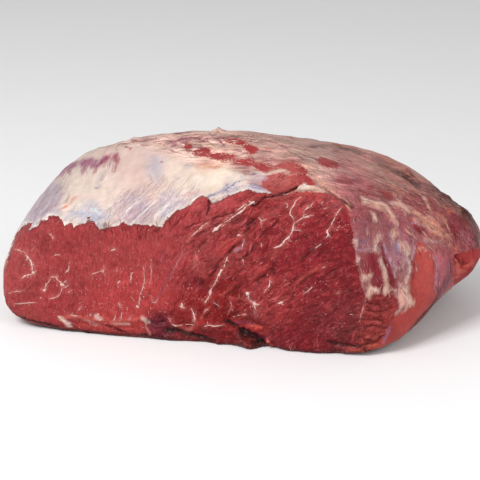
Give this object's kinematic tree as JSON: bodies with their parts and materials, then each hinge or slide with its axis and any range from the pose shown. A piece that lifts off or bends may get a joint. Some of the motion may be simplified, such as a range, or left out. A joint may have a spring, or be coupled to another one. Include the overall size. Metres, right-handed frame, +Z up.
{
  "type": "raw beef top round",
  "caption": "Whole raw beef top round lying on its flat underside, with a marbled cut face, a cream fat cap and a thin silvery skin on its back.",
  "frame": {"origin": "on the resting face, under the middle of the piece's bounding box", "axes": "+Z up, +X along the longest way of the piece, to the right as the cut face is looked at, and the cut face looks along -Y"},
  "size_m": [0.3974, 0.2568, 0.1659],
  "materials": {
    "raw_beef": "moist raw meat, with cream fat and lavender grey silverskin on the outside"
  },
  "bodies": {
    "root": {"beef_top_round": "raw_beef"}
  },
  "joints": []
}
